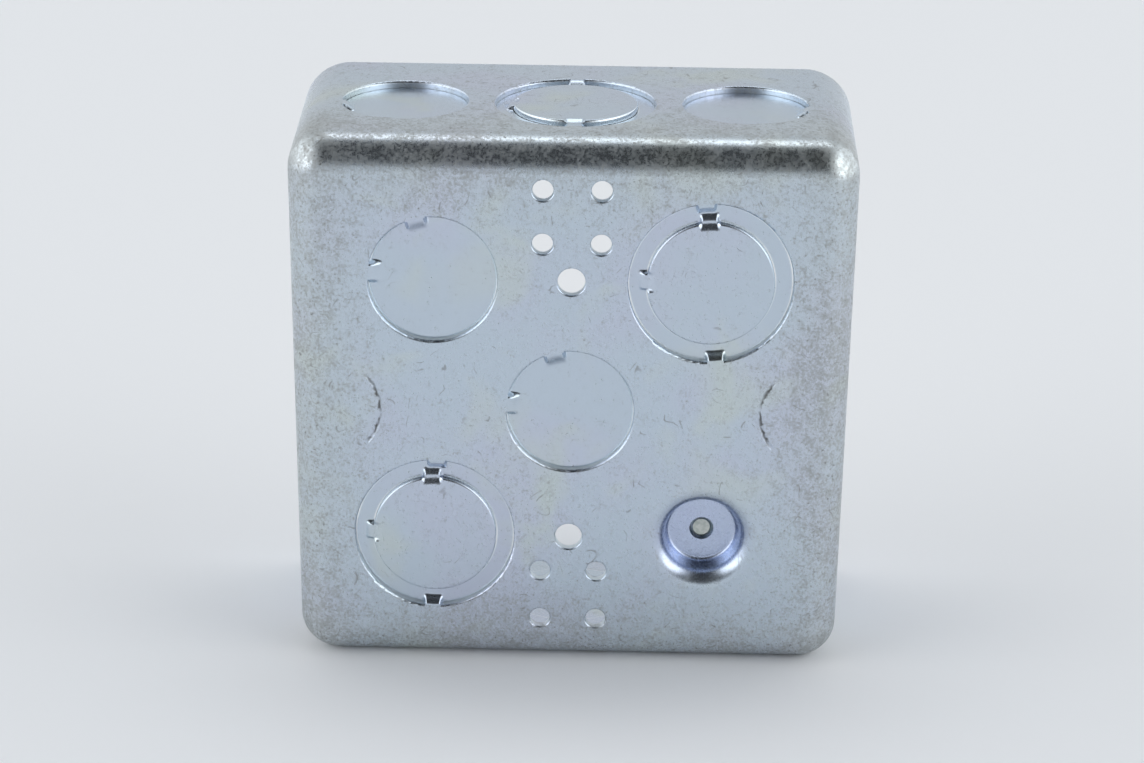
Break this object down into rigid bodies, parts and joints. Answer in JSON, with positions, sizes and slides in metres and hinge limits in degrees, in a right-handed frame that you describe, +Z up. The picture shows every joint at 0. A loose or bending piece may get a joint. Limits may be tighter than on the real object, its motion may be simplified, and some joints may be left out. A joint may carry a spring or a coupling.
{
  "type": "electrical junction box",
  "caption": "Square drawn-steel electrical junction box with half-sheared knockouts on bending ties, raised ground, cover ears and screws.",
  "frame": {"origin": "middle of the closed back, in the plane of its outer face, halfway between the two fixing holes", "axes": "-Y out of the closed back, +Y out of the open rim, +Z up as the box stands on one side wall, +X to the right seen from outside the back"},
  "size_m": [0.1016, 0.0506, 0.1016],
  "materials": {
    "shell_zinc": "blue-white zinc plate, mottled and lightly stained",
    "slug_zinc": "blue-white zinc plate, smoother and cleaner",
    "ring_zinc": "blue-white zinc plate with bright sheared edges",
    "disc_zinc": "blue-white zinc plate with a rolled edge",
    "cover_screw_zinc": "bright zinc plate",
    "ground_screw_steel": "thin green dye over zinc, worn grey on the thread and tip"
  },
  "bodies": {
    "shell": {"box_shell": "shell_zinc"},
    "back_knockout_upper_left": {"back_knockout_upper_left": "slug_zinc"},
    "back_knockout_center": {"back_knockout_center": "slug_zinc"},
    "top_knockout_left": {"top_knockout_left": "slug_zinc"},
    "top_knockout_right": {"top_knockout_right": "slug_zinc"},
    "right_knockout_upper": {"right_knockout_upper": "slug_zinc"},
    "right_knockout_lower": {"right_knockout_lower": "slug_zinc"},
    "bottom_knockout_right": {"bottom_knockout_right": "slug_zinc"},
    "bottom_knockout_left": {"bottom_knockout_left": "slug_zinc"},
    "left_knockout_lower": {"left_knockout_lower": "slug_zinc"},
    "left_knockout_upper": {"left_knockout_upper": "slug_zinc"},
    "back_ring_upper_right": {"back_ring_upper_right": "ring_zinc"},
    "back_ring_disc_upper_right": {"back_ring_disc_upper_right": "disc_zinc"},
    "back_ring_lower_left": {"back_ring_lower_left": "ring_zinc"},
    "back_ring_disc_lower_left": {"back_ring_disc_lower_left": "disc_zinc"},
    "top_ring": {"top_ring": "ring_zinc"},
    "top_ring_disc": {"top_ring_disc": "disc_zinc"},
    "right_ring": {"right_ring": "ring_zinc"},
    "right_ring_disc": {"right_ring_disc": "disc_zinc"},
    "bottom_ring": {"bottom_ring": "ring_zinc"},
    "bottom_ring_disc": {"bottom_ring_disc": "disc_zinc"},
    "left_ring": {"left_ring": "ring_zinc"},
    "left_ring_disc": {"left_ring_disc": "disc_zinc"},
    "cover_screw_upper_left": {"cover_screw_upper_left": "cover_screw_zinc"},
    "cover_screw_lower_right": {"cover_screw_lower_right": "cover_screw_zinc"},
    "ground_screw": {"ground_screw": "ground_screw_steel"}
  },
  "joints": [
    {"name": "back_knockout_upper_left_bend", "type": "hinge", "parent": "shell", "child": "back_knockout_upper_left", "pos_m": [-0.03069, 0.0028, 0.02969], "axis": [0.6494, 0, 0.7604], "range_deg": [0, 50]},
    {"name": "back_knockout_center_bend", "type": "hinge", "parent": "shell", "child": "back_knockout_center", "pos_m": [-0.00689, 0.0028, 0.00589], "axis": [0.6494, 0, 0.7604], "range_deg": [0, 50]},
    {"name": "top_knockout_left_bend", "type": "hinge", "parent": "shell", "child": "top_knockout_left", "pos_m": [-0.03684, 0.01689, 0.04648], "axis": [-0.6756, 0.7363, 0.0384], "range_deg": [0, 45]},
    {"name": "top_knockout_right_bend", "type": "hinge", "parent": "shell", "child": "top_knockout_right", "pos_m": [0.03684, 0.01689, 0.04648], "axis": [-0.6756, -0.7363, -0.0384], "range_deg": [0, 45]},
    {"name": "right_knockout_upper_bend", "type": "hinge", "parent": "shell", "child": "right_knockout_upper", "pos_m": [0.04648, 0.01689, 0.03684], "axis": [0.0384, 0.7363, 0.6756], "range_deg": [0, 45]},
    {"name": "right_knockout_lower_bend", "type": "hinge", "parent": "shell", "child": "right_knockout_lower", "pos_m": [0.04648, 0.01689, -0.03684], "axis": [-0.0384, -0.7363, 0.6756], "range_deg": [0, 45]},
    {"name": "bottom_knockout_right_bend", "type": "hinge", "parent": "shell", "child": "bottom_knockout_right", "pos_m": [0.03684, 0.01689, -0.04648], "axis": [0.6756, 0.7363, -0.0384], "range_deg": [0, 45]},
    {"name": "bottom_knockout_left_bend", "type": "hinge", "parent": "shell", "child": "bottom_knockout_left", "pos_m": [-0.03684, 0.01689, -0.04648], "axis": [0.6756, -0.7363, 0.0384], "range_deg": [0, 45]},
    {"name": "left_knockout_lower_bend", "type": "hinge", "parent": "shell", "child": "left_knockout_lower", "pos_m": [-0.04648, 0.01689, -0.03684], "axis": [-0.0384, 0.7363, -0.6756], "range_deg": [0, 45]},
    {"name": "left_knockout_upper_bend", "type": "hinge", "parent": "shell", "child": "left_knockout_upper", "pos_m": [-0.04648, 0.01689, 0.03684], "axis": [0.0384, -0.7363, -0.6756], "range_deg": [0, 45]},
    {"name": "back_ring_upper_right_twist", "type": "hinge", "parent": "shell", "child": "back_ring_upper_right", "pos_m": [0.0238, 0.0012, 0.0238], "axis": [-0.0872, 0, 0.9962], "range_deg": [-35, 35]},
    {"name": "back_ring_disc_upper_right_bend", "type": "hinge", "parent": "back_ring_upper_right", "child": "back_ring_disc_upper_right", "pos_m": [0.01804, 0.0022, 0.02936], "axis": [0.6947, 0, 0.7193], "range_deg": [0, 50]},
    {"name": "back_ring_lower_left_twist", "type": "hinge", "parent": "shell", "child": "back_ring_lower_left", "pos_m": [-0.0238, 0.0012, -0.0238], "axis": [0.0349, 0, 0.9994], "range_deg": [-35, 35]},
    {"name": "back_ring_disc_lower_left_bend", "type": "hinge", "parent": "back_ring_lower_left", "child": "back_ring_disc_lower_left", "pos_m": [-0.02947, 0.0022, -0.01823], "axis": [0.7009, 0, 0.7133], "range_deg": [0, 50]},
    {"name": "top_ring_twist", "type": "hinge", "parent": "shell", "child": "top_ring", "pos_m": [0, 0.02306, 0.0484], "axis": [0, 0.9986, 0.0521], "range_deg": [-35, 35]},
    {"name": "top_ring_disc_bend", "type": "hinge", "parent": "top_ring", "child": "top_ring_disc", "pos_m": [-0.00547, 0.01765, 0.04712], "axis": [-0.7071, 0.7061, 0.0368], "range_deg": [0, 50]},
    {"name": "right_ring_twist", "type": "hinge", "parent": "shell", "child": "right_ring", "pos_m": [0.0484, 0.02306, 0], "axis": [0.0521, 0.9986, 0], "range_deg": [-35, 35]},
    {"name": "right_ring_disc_bend", "type": "hinge", "parent": "right_ring", "child": "right_ring_disc", "pos_m": [0.04712, 0.01765, 0.00547], "axis": [0.0368, 0.7061, 0.7071], "range_deg": [0, 50]},
    {"name": "bottom_ring_twist", "type": "hinge", "parent": "shell", "child": "bottom_ring", "pos_m": [0, 0.02306, -0.0484], "axis": [0, 0.9986, -0.0521], "range_deg": [-35, 35]},
    {"name": "bottom_ring_disc_bend", "type": "hinge", "parent": "bottom_ring", "child": "bottom_ring_disc", "pos_m": [0.00547, 0.01765, -0.04712], "axis": [0.7071, 0.7061, -0.0368], "range_deg": [0, 50]},
    {"name": "left_ring_twist", "type": "hinge", "parent": "shell", "child": "left_ring", "pos_m": [-0.0484, 0.02306, 0], "axis": [-0.0521, 0.9986, 0], "range_deg": [-35, 35]},
    {"name": "left_ring_disc_bend", "type": "hinge", "parent": "left_ring", "child": "left_ring_disc", "pos_m": [-0.04712, 0.01765, -0.00547], "axis": [-0.0368, 0.7061, -0.7071], "range_deg": [0, 50]},
    {"name": "cover_screw_upper_left_travel", "type": "slide", "parent": "shell", "child": "cover_screw_upper_left", "axis": [0, 1, 0], "range_m": [-0.003, 0.006]},
    {"name": "cover_screw_lower_right_travel", "type": "slide", "parent": "shell", "child": "cover_screw_lower_right", "axis": [0, 1, 0], "range_m": [-0.003, 0.006]},
    {"name": "ground_screw_travel", "type": "slide", "parent": "shell", "child": "ground_screw", "axis": [0, 1, 0], "range_m": [-0.00535, 0.0008]}
  ]
}
